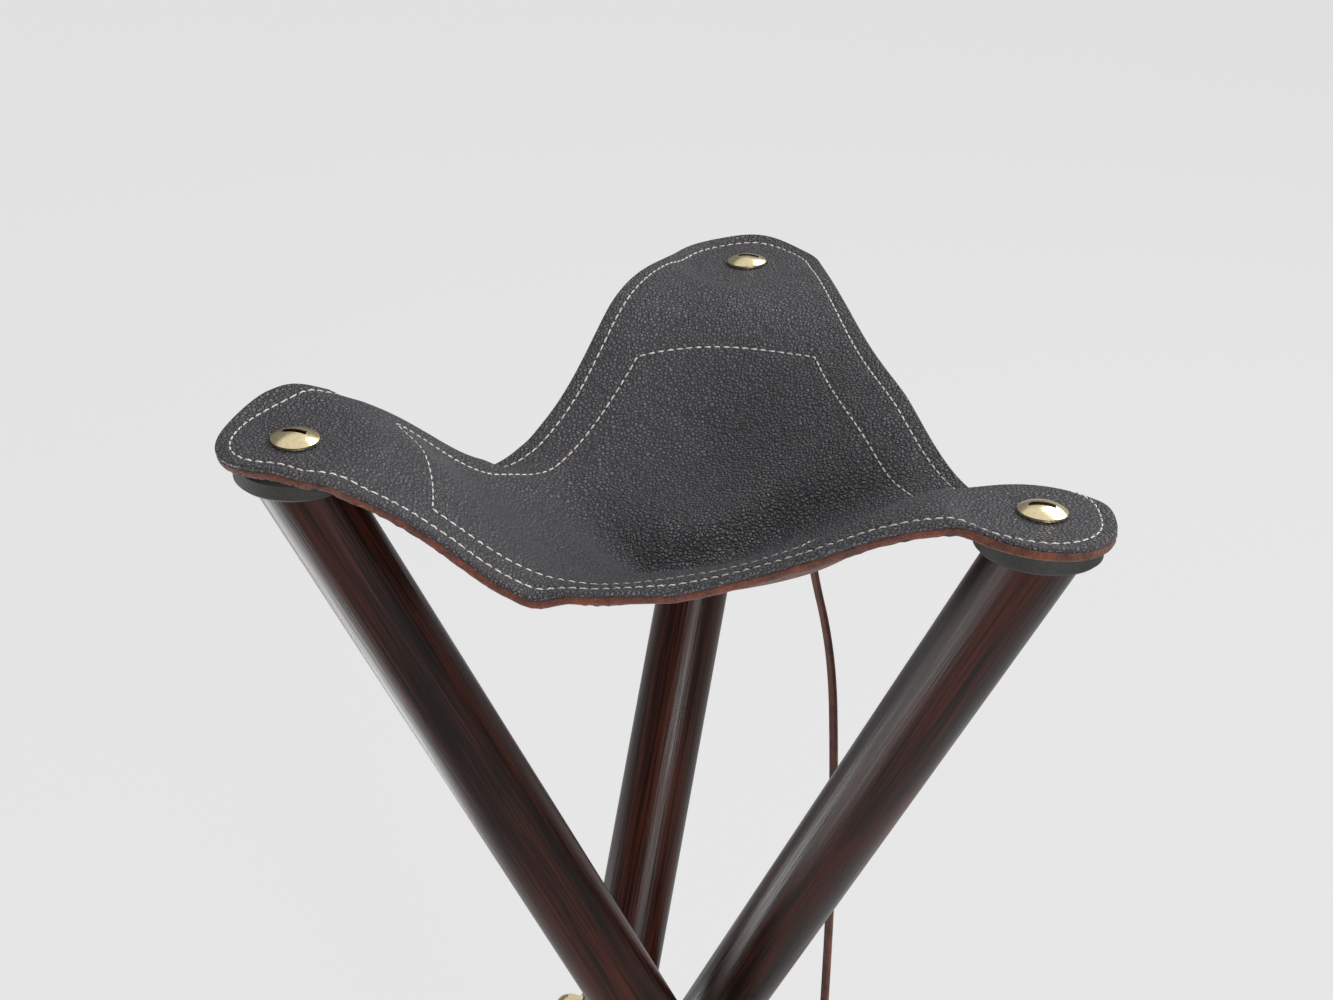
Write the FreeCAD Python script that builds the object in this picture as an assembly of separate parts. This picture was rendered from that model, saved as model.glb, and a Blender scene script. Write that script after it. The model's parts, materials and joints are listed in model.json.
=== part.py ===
# Folding tripod stool: a leather sling on three round legs that turn on a three-armed pivot bolt.
# Millimetres, Z up. The stool stands open on the plane z = 0, with the middle of its box over the origin.
import FreeCAD, Part
import math
import os

from FreeCAD import Vector

# Legs
LEG_RADIUS = 16.0
LEG_LEAN = 27.0             # degrees from upright when the stool is open
LEG_ABOVE_PIVOT = 340.0     # along the leg
LEG_BELOW_PIVOT = 350.0
PIVOT_OFFSET = 28.0         # from the middle of the bolt to each leg's axis
CORNERS = {"back": 90.0, "left": 210.0, "right": 330.0}   # azimuth of each leg top, in degrees
FOOT_CHAMFER = 1.5

# Seat corner stack, measured square to the leg's top face
TOP_FACE_LEAN = 3.0         # the leg tops lean a little to their counter-clockwise side
PAD_RADIUS = 23.0
PAD_THICKNESS = 8.0
PAD_EDGE = 1.2
TOP_LEATHER = 2.0
BASE_LEATHER = 3.0
PANEL_LEATHER = 2.0
LAYER_GAP = 0.05
SOFT_GAP = 0.6              # between the leather and the hard pieces above and below it

# Seat screws
HEAD_RADIUS = 9.0
HEAD_HEIGHT = 3.6
HEAD_RIM = 0.9
SLOT_LENGTH = 8.5
SLOT_WIDTH = 1.6
SLOT_DEPTH = 1.5
SHANK_RADIUS = 3.0
SHANK_IN_LEG = 20.0
LEATHER_HOLE = 3.6
PILOT_RADIUS = 3.05
PILOT_SPARE = 2.0           # the pilot hole goes this much deeper than the shank

# Seat outline, seen from above: a round tongue at each corner, joined by shallow hollow sides
TONGUE_RADIUS = 34.0
TONGUE_BACK = 6.0           # the tongue's centre lies this far inside the screw
SIDE_OFFSET = 16.0          # the sides' middles lie this far outside the line from screw to screw
PANEL_INSET = 20.0          # from the seat's edge to the edge of the sewn panel
PANEL_CHORD = {"back": 70.0, "left": 46.0, "right": 68.0}   # from each screw to the panel's blunt corner

# Seat heights below the screws, where the sling hangs. A side's rows are: distance along the line from the
# first screw to the next one counter-clockwise, distance outside that line, height.
SIDE_HEIGHTS = {
    "back": ((75.0, 20.0, -4.0), (136.0, 14.0, -46.0), (168.0, 14.0, -45.0), (205.0, 20.0, -17.0)),
    "left": ((72.0, 20.0, -30.0), (104.0, 15.0, -43.0), (136.0, 14.0, -40.0), (205.0, 20.0, -12.0)),
    "right": ((75.0, 20.0, -30.0), (136.0, 14.0, -14.0), (200.0, 20.0, -1.0)),
}
# Heights on the line from each screw to the middle: distance from the screw, height.
SPINE_HEIGHTS = {
    "back": ((45.0, -2.0), (95.0, -43.0)),
    "left": ((45.0, -9.0), (95.0, -57.0)),
    "right": ((45.0, -6.0), (95.0, -48.0)),
}
MIDDLE_HEIGHT = -57.0
TONGUE_SIDE = 32.0          # where the tongues' side heights are taken, left and right of the screw
TONGUE_RISE = {"back": 3.0, "left": 8.0, "right": 7.0}      # clockwise side
TONGUE_DROP = {"back": 1.0, "left": -3.0, "right": -3.0}   # counter-clockwise side
FLAT_INNER = 25.0           # the leather is flat over the pad, out to here
FLAT_OUTER = 38.0           # and hangs freely from here

# Pivot bolt, washers and nuts
ARM_RADIUS = 4.0
ARM_LENGTH = 53.0
BOSS_RADIUS = 9.0
COLLAR_RADIUS = 7.0
PIVOT_CLEARANCE = 0.05
SPOT_FACE = 14.5            # half the leg's thickness between its two flats at the pivot
SPOT_FACE_RADIUS = 11.0
WASHER_RADIUS = 9.5
WASHER_THICKNESS = 1.5
WASHER_GAP = 0.2
NUT_ACROSS_FLATS = 13.0
NUT_HEX_HEIGHT = 6.5
NUT_DOME_RADIUS = 6.2
NUT_BORE_DEPTH = 9.5
NUT_EASE = 0.6              # how far the eased corners reach down the hexagon's flats

# Tie lace: a flat leather lace. Its end lies under the seat panel, held by a rivet, and the rest hangs. The
# route is given from the pivot bolt's axis, with heights below the seat screws.
LACE_WIDTH = 5.0
LACE_THICKNESS = 2.0
LACE_ROUTE = (
    (55.2, 36.0, -38.4), (47.9, 30.4, -44.6), (45.2, 28.2, -54.0), (46.0, 27.6, -71.0),
    (50.0, 28.0, -92.0), (55.8, 29.0, -114.0), (60.0, 29.8, -140.0), (62.3, 30.4, -172.0),
    (64.2, 30.8, -208.0), (65.4, 31.2, -250.0), (66.0, 31.6, -295.0), (66.2, 31.8, -338.0),
    (65.8, 31.7, -379.0), (65.6, 31.4, -418.0),
)
ARC_SHARE = 0.45            # share of the shorter run that an arc takes up
RIVET_FROM_END = 3.2        # the rivet's place on the lace
RIVET_HEAD_RADIUS = 3.0
RIVET_HEAD_HEIGHT = 1.3
RIVET_RIM = 0.4
RIVET_SHANK_RADIUS = 1.1
RIVET_HOLE_RADIUS = 1.4

# Places worked out from the sizes above
LEAN = math.radians(LEG_LEAN)
TOP_LEAN = math.radians(TOP_FACE_LEAN)
PIVOT_HEIGHT = LEG_BELOW_PIVOT * math.cos(LEAN)
TOP_REACH = LEG_ABOVE_PIVOT * math.sin(LEAN)
LEG_TURN = math.degrees(math.atan2(PIVOT_OFFSET, TOP_REACH))
SCREW_RADIUS = math.hypot(PIVOT_OFFSET, TOP_REACH)
SEAT_LEATHER = TOP_LEATHER + BASE_LEATHER
SEAT_HEIGHT = (PIVOT_HEIGHT + LEG_ABOVE_PIVOT * math.cos(LEAN)
               + PAD_THICKNESS + SOFT_GAP + SEAT_LEATHER)
NEXT_CORNER = {"back": "left", "left": "right", "right": "back"}

# Spare lengths of the cutting shapes, and how close counts as touching
CUTTER = 400.0
SPARE = 60.0
TOUCH = 0.001


def polar(radius, azimuth, height=0.0):
    angle = math.radians(azimuth)
    return Vector(radius * math.cos(angle), radius * math.sin(angle), height)


def smooth_step(value):
    value = min(max(value, 0.0), 1.0)
    return value * value * (3.0 - 2.0 * value)


# Directions at one corner
def outward(corner):
    return polar(1.0, CORNERS[corner])


def counter_clockwise(corner):
    return polar(1.0, CORNERS[corner] + 90.0)


def top_normal(corner):
    return counter_clockwise(corner) * math.sin(TOP_LEAN) + Vector(0, 0, math.cos(TOP_LEAN))


def arm_direction(corner):
    return polar(1.0, CORNERS[corner] - LEG_TURN + 90.0)


def leg_direction(corner):
    lean = polar(math.sin(LEAN), CORNERS[corner] - LEG_TURN)
    return lean + Vector(0, 0, math.cos(LEAN))


def pivot_point(corner):
    return arm_direction(corner) * PIVOT_OFFSET + Vector(0, 0, PIVOT_HEIGHT)


def leg_top(corner):
    return pivot_point(corner) + leg_direction(corner) * LEG_ABOVE_PIVOT


def screw_point(corner):
    return polar(SCREW_RADIUS, CORNERS[corner])


def cylinder(radius, length, base, direction):
    return Part.makeCylinder(radius, length, base, direction)


# The hanging leather bends as little as it can through the heights given above: a thin plate spline.
def seat_points():
    points = [(0.0, 0.0, MIDDLE_HEIGHT)]
    for corner in CORNERS:
        screw = screw_point(corner)
        along = screw_point(NEXT_CORNER[corner]) - screw
        along.normalize()
        outside = Vector(along.y, -along.x, 0)
        side = counter_clockwise(corner) * TONGUE_SIDE
        tip = outward(corner) * (TONGUE_RADIUS - TONGUE_BACK)
        placed = [(screw, 0.0), (screw + tip, 0.0)]
        placed.append((screw + side, TONGUE_DROP[corner]))
        placed.append((screw - side, TONGUE_RISE[corner]))
        for distance, offset, height in SIDE_HEIGHTS[corner]:
            placed.append((screw + along * distance + outside * offset, height))
        for distance, height in SPINE_HEIGHTS[corner]:
            placed.append((screw - outward(corner) * distance, height))
        points += [(place.x, place.y, height) for place, height in placed]
    return points


def plate_term(x1, y1, x2, y2):
    square = (x1 - x2) ** 2 + (y1 - y2) ** 2
    return square * math.log(square) if square > 0.0 else 0.0


def solve(rows):
    size = len(rows)
    for column in range(size):
        pivot = max(range(column, size), key=lambda row: abs(rows[row][column]))
        rows[column], rows[pivot] = rows[pivot], rows[column]
        for row in range(column + 1, size):
            share = rows[row][column] / rows[column][column]
            rows[row] = [value - share * above for value, above in zip(rows[row], rows[column])]
    answer = [0.0] * size
    for row in reversed(range(size)):
        known = sum(rows[row][other] * answer[other] for other in range(row + 1, size))
        answer[row] = (rows[row][size] - known) / rows[row][row]
    return answer


def plate_weights(points):
    rows = []
    for x, y, height in points:
        bending = [plate_term(x, y, other[0], other[1]) for other in points]
        rows.append(bending + [1.0, x, y, height])
    for plane in range(3):
        rows.append([(1.0, x, y)[plane] for x, y, height in points] + [0.0] * 4)
    return solve(rows)


PLATE_POINTS = seat_points()
PLATE_WEIGHTS = plate_weights(PLATE_POINTS)


def hanging_height(x, y):
    height = PLATE_WEIGHTS[-3] + PLATE_WEIGHTS[-2] * x + PLATE_WEIGHTS[-1] * y
    for (px, py, known), weight in zip(PLATE_POINTS, PLATE_WEIGHTS):
        height += weight * plate_term(x, y, px, py)
    return height


# Over the pads the leather lies flat on the leaning leg tops.
def seat_height(x, y):
    height = hanging_height(x, y)
    for corner in CORNERS:
        from_screw = Vector(x, y, 0) - screw_point(corner)
        free = smooth_step((from_screw.Length - FLAT_INNER) / (FLAT_OUTER - FLAT_INNER))
        flat = -math.tan(TOP_LEAN) * from_screw.dot(counter_clockwise(corner))
        height = flat + (height - flat) * free
    return height


# Seat sheet: a loft across the seat through closed sections of arcs
SECTION_FROM = -124.0
SECTION_TO = 200.0
SECTION_STEP = 12.0
SECTION_HALF_WIDTH = 180.0
SECTION_ARCS = 15


def bent_edge(start, middle, end):
    if (start + end - middle * 2.0).Length < TOUCH:
        return Part.LineSegment(start, end).toShape()
    return Part.Arc(start, middle, end).toShape()


def section_arcs(y, below):
    half_step = SECTION_HALF_WIDTH / SECTION_ARCS
    points = []
    for index in range(2 * SECTION_ARCS + 1):
        x = -SECTION_HALF_WIDTH + half_step * index
        points.append(Vector(x, y, SEAT_HEIGHT + seat_height(x, y) - below))
    edges = []
    for start, middle, end in zip(points[0::2], points[1::2], points[2::2]):
        edges.append(bent_edge(start, middle, end))
    return edges, points[0], points[-1]


def sheet(top, bottom):
    count = round((SECTION_TO - SECTION_FROM) / SECTION_STEP)
    wires = []
    for index in range(count + 1):
        y = SECTION_FROM + SECTION_STEP * index
        upper, upper_left, upper_right = section_arcs(y, top)
        lower, lower_left, lower_right = section_arcs(y, bottom)
        right_end = Part.LineSegment(upper_right, lower_right).toShape()
        left_end = Part.LineSegment(lower_left, upper_left).toShape()
        wires.append(Part.Wire(upper + [right_end] + lower[::-1] + [left_end]))
    return Part.makeLoft(wires, True, False)


# Seat outline: tongue arcs and hollow side arcs that meet them without a corner
def outline_prism(inset):
    tongue = TONGUE_RADIUS - inset
    offset = SIDE_OFFSET + TONGUE_BACK / 2.0 - inset
    centre_radius = SCREW_RADIUS - TONGUE_BACK
    half_side = centre_radius * math.cos(math.radians(30.0))
    hollow = tongue - offset
    side_centre_out = (half_side ** 2 - hollow ** 2) / (2.0 * hollow)
    side_radius = side_centre_out - offset
    middle_radius = centre_radius / 2.0
    edges = []
    for corner, azimuth in CORNERS.items():
        centre = polar(centre_radius, azimuth)
        before = polar(middle_radius + side_centre_out, azimuth - 60.0)
        after = polar(middle_radius + side_centre_out, azimuth + 60.0)
        start = centre + (before - centre).normalize() * tongue
        end = centre + (after - centre).normalize() * tongue
        tip = centre + outward(corner) * tongue
        hollow_point = after - polar(side_radius, azimuth + 60.0)
        next_centre = polar(centre_radius, azimuth + 120.0)
        next_start = next_centre + (after - next_centre).normalize() * tongue
        edges.append(Part.Arc(start, tip, end).toShape())
        edges.append(Part.Arc(end, hollow_point, next_start).toShape())
    face = Part.Face(Part.Wire(edges))
    face.translate(Vector(0, 0, SEAT_HEIGHT - CUTTER / 2.0))
    return face.extrude(Vector(0, 0, CUTTER))


def panel_prism():
    prism = outline_prism(PANEL_INSET)
    for corner, azimuth in CORNERS.items():
        low_corner = Vector(SCREW_RADIUS - PANEL_CHORD[corner], -CUTTER / 2.0, SEAT_HEIGHT - CUTTER / 2.0)
        beyond = Part.makeBox(CUTTER, CUTTER, CUTTER, low_corner)
        beyond.rotate(Vector(0, 0, 0), Vector(0, 0, 1), azimuth)
        prism = prism.cut(beyond)
    return prism


def seat_layer(top, bottom, prism):
    layer = sheet(top, bottom).common(prism)
    for corner in CORNERS:
        layer = layer.cut(cylinder(LEATHER_HOLE, SPARE, leg_top(corner), top_normal(corner)))
    return layer.Solids[0]


# Leg: a round bar with a level foot, a leaning top, flats at the pivot and its two holes
def leg(corner):
    direction = leg_direction(corner)
    pivot = pivot_point(corner)
    arm = arm_direction(corner)
    length = LEG_BELOW_PIVOT + LEG_ABOVE_PIVOT + 2.0 * SPARE
    bar = cylinder(LEG_RADIUS, length, pivot - direction * (LEG_BELOW_PIVOT + SPARE), direction)
    floor = Part.makeBox(2.0 * CUTTER, 2.0 * CUTTER, CUTTER, Vector(-CUTTER, -CUTTER, -CUTTER))
    bar = bar.cut(floor)
    foot = [edge for edge in bar.Edges if abs(edge.CenterOfMass.z) < TOUCH]
    bar = bar.makeChamfer(FOOT_CHAMFER, foot)
    above = cylinder(4.0 * LEG_RADIUS, 2.0 * SPARE, leg_top(corner), top_normal(corner))
    bar = bar.cut(above)
    for sign in (-1.0, 1.0):
        flat = cylinder(SPOT_FACE_RADIUS, LEG_RADIUS, pivot + arm * (sign * SPOT_FACE), arm * sign)
        bar = bar.cut(flat)
    bore = cylinder(ARM_RADIUS + PIVOT_CLEARANCE, 4.0 * LEG_RADIUS, pivot - arm * (2.0 * LEG_RADIUS), arm)
    pilot = cylinder(PILOT_RADIUS, SHANK_IN_LEG + PILOT_SPARE, leg_top(corner), top_normal(corner) * -1.0)
    return bar.cut(bore).cut(pilot)


def top_pad(corner):
    normal = top_normal(corner)
    pad = cylinder(PAD_RADIUS, PAD_THICKNESS, leg_top(corner), normal)
    pad = pad.makeChamfer(PAD_EDGE, [edge for edge in pad.Edges if edge.Closed])
    return pad.cut(cylinder(LEATHER_HOLE, PAD_THICKNESS, leg_top(corner), normal))


# Seat screw: a low dome over a short rim, with a short slot, on a plain shank
def seat_screw(corner):
    normal = top_normal(corner)
    seat = leg_top(corner) + normal * (PAD_THICKNESS + SEAT_LEATHER + 2.0 * SOFT_GAP)
    dome_height = HEAD_HEIGHT - HEAD_RIM
    dome_radius = (HEAD_RADIUS ** 2 + dome_height ** 2) / (2.0 * dome_height)
    rim = cylinder(HEAD_RADIUS, HEAD_HEIGHT, seat, normal)
    dome = Part.makeSphere(dome_radius, seat + normal * (HEAD_HEIGHT - dome_radius))
    head = rim.common(dome)
    slot = Part.makeBox(SLOT_LENGTH, SLOT_WIDTH, SLOT_DEPTH * 2.0,
                        Vector(-SLOT_LENGTH / 2.0, -SLOT_WIDTH / 2.0, HEAD_HEIGHT - SLOT_DEPTH))
    slot.Placement = FreeCAD.Placement(seat, FreeCAD.Rotation(Vector(0, 0, 1), normal))
    shank_length = SHANK_IN_LEG + PAD_THICKNESS + SEAT_LEATHER + 2.0 * SOFT_GAP
    shank = cylinder(SHANK_RADIUS, shank_length + HEAD_RIM, seat + normal * HEAD_RIM, normal * -1.0)
    return head.cut(slot).fuse(shank).removeSplitter()


# Pivot bolt: a round boss with three level arms, each with a collar behind its leg
def tri_bolt():
    middle = Vector(0, 0, PIVOT_HEIGHT)
    bolt = Part.makeSphere(BOSS_RADIUS, middle)
    collar_length = PIVOT_OFFSET - SPOT_FACE - WASHER_GAP - WASHER_THICKNESS
    for corner in CORNERS:
        arm = arm_direction(corner)
        bolt = bolt.fuse(cylinder(COLLAR_RADIUS, collar_length, middle, arm))
        bolt = bolt.fuse(cylinder(ARM_RADIUS, ARM_LENGTH, middle, arm))
    return bolt.removeSplitter()


def washer(corner, sign):
    arm = arm_direction(corner)
    face = pivot_point(corner) + arm * (sign * (SPOT_FACE + WASHER_GAP))
    disc = cylinder(WASHER_RADIUS, WASHER_THICKNESS, face, arm * sign)
    hole = cylinder(ARM_RADIUS + PIVOT_CLEARANCE, WASHER_THICKNESS, face, arm * sign)
    return disc.cut(hole)


# Dome nut: a hexagon with its outer corners eased, closed by a round dome
def dome_nut(corner):
    arm = arm_direction(corner)
    base = pivot_point(corner) + arm * (SPOT_FACE + WASHER_GAP + WASHER_THICKNESS)
    corner_radius = NUT_ACROSS_FLATS / math.sqrt(3.0)
    hexagon = Part.makePolygon([polar(corner_radius, 60.0 * index) for index in range(7)])
    nut = Part.Face(hexagon).extrude(Vector(0, 0, NUT_HEX_HEIGHT))
    ease = Part.makeCone(corner_radius + NUT_HEX_HEIGHT, NUT_ACROSS_FLATS / 2.0, NUT_HEX_HEIGHT + NUT_EASE)
    nut = nut.common(ease)
    dome_centre = Vector(0, 0, NUT_HEX_HEIGHT)
    dome = Part.makeSphere(NUT_DOME_RADIUS, dome_centre)
    below = cylinder(2.0 * NUT_DOME_RADIUS, NUT_HEX_HEIGHT + NUT_DOME_RADIUS, dome_centre, Vector(0, 0, -1))
    nut = nut.fuse(dome.cut(below)).removeSplitter()
    nut = nut.cut(cylinder(ARM_RADIUS + PIVOT_CLEARANCE, NUT_BORE_DEPTH, Vector(0, 0, 0), Vector(0, 0, 1)))
    nut.Placement = FreeCAD.Placement(base, FreeCAD.Rotation(Vector(0, 0, 1), arm))
    return nut


# Tie lace: a flat section carried along straight runs and the arcs between them
def lace_points():
    return [Vector(x, y, SEAT_HEIGHT + z) for x, y, z in LACE_ROUTE]


def lace_path():
    points = lace_points()
    edges = []
    radii = []
    start = points[0]
    for before, point, after in zip(points, points[1:], points[2:]):
        back = before - point
        ahead = after - point
        cut = ARC_SHARE * min(back.Length, ahead.Length)
        half_turn = (math.pi - back.getAngle(ahead)) / 2.0
        radius = cut / math.tan(half_turn)
        back.normalize()
        ahead.normalize()
        inside = (back + ahead).normalize()
        middle = point + inside * (radius / math.cos(half_turn) - radius)
        edges.append(Part.LineSegment(start, point + back * cut).toShape())
        edges.append(Part.Arc(point + back * cut, middle, point + ahead * cut).toShape())
        start = point + ahead * cut
        radii.append(radius)
    edges.append(Part.LineSegment(start, points[-1]).toShape())
    return Part.Wire(edges), radii


# The lace's first run lies flat under the panel: its direction, its width and the way through it
def lace_directions():
    start, second = lace_points()[:2]
    ahead = (second - start).normalize()
    across = ahead.cross(Vector(0, 0, 1)).normalize()
    return ahead, across, across.cross(ahead)


def rivet_base():
    return lace_points()[0] + lace_directions()[0] * RIVET_FROM_END


def rivet_hole(start, length):
    through = lace_directions()[2]
    return cylinder(RIVET_HOLE_RADIUS, length, rivet_base() + through * start, through)


def tie_lace():
    path, radii = lace_path()
    across, through = lace_directions()[1:]
    width = across * (LACE_WIDTH / 2.0)
    depth = through * (LACE_THICKNESS / 2.0)
    start = lace_points()[0]
    ring = [start - width - depth, start + width - depth, start + width + depth, start - width + depth]
    section = Part.makePolygon(ring + ring[:1])
    lace = path.makePipeShell([section], True, False)
    print("lace radii", [round(radius) for radius in radii])
    print("lace length", round(path.Length, 1), "volume", round(lace.Volume, 1),
          "section times length", round(path.Length * LACE_WIDTH * LACE_THICKNESS, 1))
    return lace.cut(rivet_hole(-LACE_THICKNESS, 2.0 * LACE_THICKNESS))


# Rivet: a low dome under the lace, on a shank that goes up through the lace, the panel and the base leather.
# It is one turned profile, with the radius along x and the height along z.
def lace_rivet():
    under = -LACE_THICKNESS / 2.0 - LAYER_GAP
    bottom = under - RIVET_HEAD_HEIGHT
    top = under + LACE_THICKNESS + PANEL_LEATHER + BASE_LEATHER / 2.0
    dome_height = RIVET_HEAD_HEIGHT - RIVET_RIM
    dome_radius = (RIVET_HEAD_RADIUS ** 2 + dome_height ** 2) / (2.0 * dome_height)
    half_angle = math.asin(RIVET_HEAD_RADIUS / dome_radius) / 2.0
    rise = dome_radius * (1.0 - math.cos(half_angle))
    on_dome = Vector(dome_radius * math.sin(half_angle), 0, bottom + rise)
    rim = Vector(RIVET_HEAD_RADIUS, 0, under - RIVET_RIM)
    straight = [rim, Vector(RIVET_HEAD_RADIUS, 0, under), Vector(RIVET_SHANK_RADIUS, 0, under),
                Vector(RIVET_SHANK_RADIUS, 0, top), Vector(0, 0, top), Vector(0, 0, bottom)]
    edges = [Part.Arc(Vector(0, 0, bottom), on_dome, rim).toShape()]
    edges += [Part.LineSegment(a, b).toShape() for a, b in zip(straight, straight[1:])]
    rivet = Part.Face(Part.Wire(edges)).revolve(Vector(0, 0, 0), Vector(0, 0, 1), 360.0)
    rivet.Placement = FreeCAD.Placement(rivet_base(), FreeCAD.Rotation(Vector(0, 0, 1), lace_directions()[2]))
    return rivet


# All the pieces by name
nodes = {}
seat_prism = outline_prism(0.0)
nodes["seat_top_leather"] = seat_layer(0.0, TOP_LEATHER - LAYER_GAP, seat_prism)
leather_hole = rivet_hole(0.0, LACE_THICKNESS + PANEL_LEATHER + BASE_LEATHER / 2.0)
nodes["seat_base_leather"] = seat_layer(TOP_LEATHER, SEAT_LEATHER, seat_prism).cut(leather_hole)
panel = seat_layer(SEAT_LEATHER + LAYER_GAP, SEAT_LEATHER + PANEL_LEATHER, panel_prism())
nodes["seat_under_panel"] = panel.cut(leather_hole)
for name in CORNERS:
    nodes["leg_" + name] = leg(name)
    nodes["top_pad_" + name] = top_pad(name)
    nodes["seat_screw_" + name] = seat_screw(name)
    nodes["inner_washer_" + name] = washer(name, -1.0)
    nodes["outer_washer_" + name] = washer(name, 1.0)
    nodes["dome_nut_" + name] = dome_nut(name)
nodes["tri_bolt"] = tri_bolt()
nodes["tie_lace"] = tie_lace()
nodes["lace_rivet"] = lace_rivet()

# The lace is left out of the box that is centred over the origin.
firm = [shape for name, shape in nodes.items() if name != "tie_lace"]
box = Part.makeCompound(firm).optimalBoundingBox(False)
to_origin = Vector(-box.Center.x, -box.Center.y, 0)
os.makedirs("parts", exist_ok=True)
for name, shape in nodes.items():
    shape.translate(to_origin)
    shape.exportStep("parts/" + name + ".step")
    print(name, "valid" if shape.isValid() else "NOT VALID", len(shape.Solids), "solid", round(shape.Volume))
print("pivot bolt at", to_origin.x, to_origin.y, PIVOT_HEIGHT + to_origin.z)
for name in CORNERS:
    print(name, "arm", tuple(arm_direction(name)), "pivot", tuple(pivot_point(name) + to_origin))
print("size", box.XLength, box.YLength, box.ZLength)
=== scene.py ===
# Folding tripod stool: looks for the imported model. Working numbers are millimetres, meshes are metres.
import bpy
import json
import math
import numpy as np
from mathutils import Matrix, Vector


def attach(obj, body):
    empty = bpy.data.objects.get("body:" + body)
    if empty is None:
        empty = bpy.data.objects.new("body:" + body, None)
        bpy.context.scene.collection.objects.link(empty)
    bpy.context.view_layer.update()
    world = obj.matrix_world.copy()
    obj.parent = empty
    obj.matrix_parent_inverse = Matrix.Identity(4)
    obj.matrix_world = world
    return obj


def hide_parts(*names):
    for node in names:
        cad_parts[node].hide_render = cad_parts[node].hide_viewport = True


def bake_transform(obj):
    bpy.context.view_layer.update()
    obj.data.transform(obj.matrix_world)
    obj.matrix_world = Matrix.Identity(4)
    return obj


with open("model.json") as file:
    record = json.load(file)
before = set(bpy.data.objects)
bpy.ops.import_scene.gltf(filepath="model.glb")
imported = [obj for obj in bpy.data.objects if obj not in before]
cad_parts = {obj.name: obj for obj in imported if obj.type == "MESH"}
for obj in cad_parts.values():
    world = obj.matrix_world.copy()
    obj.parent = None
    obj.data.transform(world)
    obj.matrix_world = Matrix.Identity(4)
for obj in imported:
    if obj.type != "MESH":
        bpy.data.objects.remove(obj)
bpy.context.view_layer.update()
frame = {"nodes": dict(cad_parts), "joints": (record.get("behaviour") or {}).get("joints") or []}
nodes = frame["nodes"]
joints = {joint["name"]: joint for joint in frame["joints"]}
corners = {"back": 90.0, "left": 210.0, "right": 330.0}  # azimuth of each seat corner
leg = {"lean": 27.0, "abovePivot": 340.0, "pivotOut": 28.0, "stack": 13.6}  # stack: pad and leather on top
lean = math.radians(leg["lean"])
hub = np.mean([joint["pos_m"] for joint in frame["joints"]], axis=0) * 1000  # the pivots stand round the bolt
seatLevel = hub[2] + leg["abovePivot"] * math.cos(lean) + leg["stack"]  # top of the leather at the screws
print("frame loaded,", len(nodes), "nodes")


# sRGB hex to the linear colour that a socket takes
def srgb(text):
    parts = np.array([int(text[i:i + 2], 16) for i in (1, 3, 5)]) / 255
    linear = np.where(parts <= 0.04045, parts / 12.92, ((parts + 0.055) / 1.055) ** 2.4)
    return [*linear.tolist(), 1.0]


# One node with its settings; inputs take a value or another node's output
def addNode(tree, kind, inputs=None, ramp=None, **settings):
    node = tree.nodes.new(kind)
    for key, value in settings.items():
        setattr(node, key, value)
    for key, value in (inputs or {}).items():
        if isinstance(value, bpy.types.NodeSocket):
            tree.links.new(value, node.inputs[key])
        else:
            node.inputs[key].default_value = value
    for index, (place, colour) in enumerate(ramp or []):
        stops = node.color_ramp.elements
        stop = stops[index] if index < len(stops) else stops.new(place)
        stop.position = place
        stop.color = colour
    return node


def newMaterial(name):
    material = bpy.data.materials.new(name)
    material.use_nodes = True
    tree = material.node_tree
    return material, tree, tree.nodes["Principled BSDF"]


def toModel(points):  # hub millimetres to model metres
    return (np.asarray(points, float) + [hub[0], hub[1], seatLevel]) / 1000


# Quads between neighbouring rows and columns of a grid of vertex numbers
def gridQuads(numbers):
    quads = np.stack([numbers[:-1, :-1], numbers[:-1, 1:], numbers[1:, 1:], numbers[1:, :-1]], -1)
    return quads.reshape(-1, 4)


def newPiece(name, points, faces, material, normals=None):
    mesh = bpy.data.meshes.new(name)
    mesh.from_pydata(points.tolist(), [], faces)
    mesh.polygons.foreach_set("use_smooth", np.ones(len(mesh.polygons), bool))
    mesh.materials.append(material)
    rest = mesh.attributes.new("restPlace", "FLOAT_VECTOR", "POINT")  # holds each point's rest place, on which the patterns are drawn
    rest.data.foreach_set("vector", points.astype(np.float32).ravel())
    mesh.update()
    if normals is not None:
        mesh.normals_split_custom_set_from_vertices(normals.tolist())
    piece = bpy.data.objects.new(name, mesh)
    bpy.context.scene.collection.objects.link(piece)
    return piece


# Camera at the photograph's place: a little to the right of straight ahead, looking down on the seat
shot = {"azimuth": 8.49, "elevation": 22.96, "roll": -1.99, "distance": 0.809, "focal": 2059.0,
        "middle": (694.0, 390.0), "frame": (1333.0, 1000.0), "lift": 1.2, "sensor": 36.0}


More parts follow.
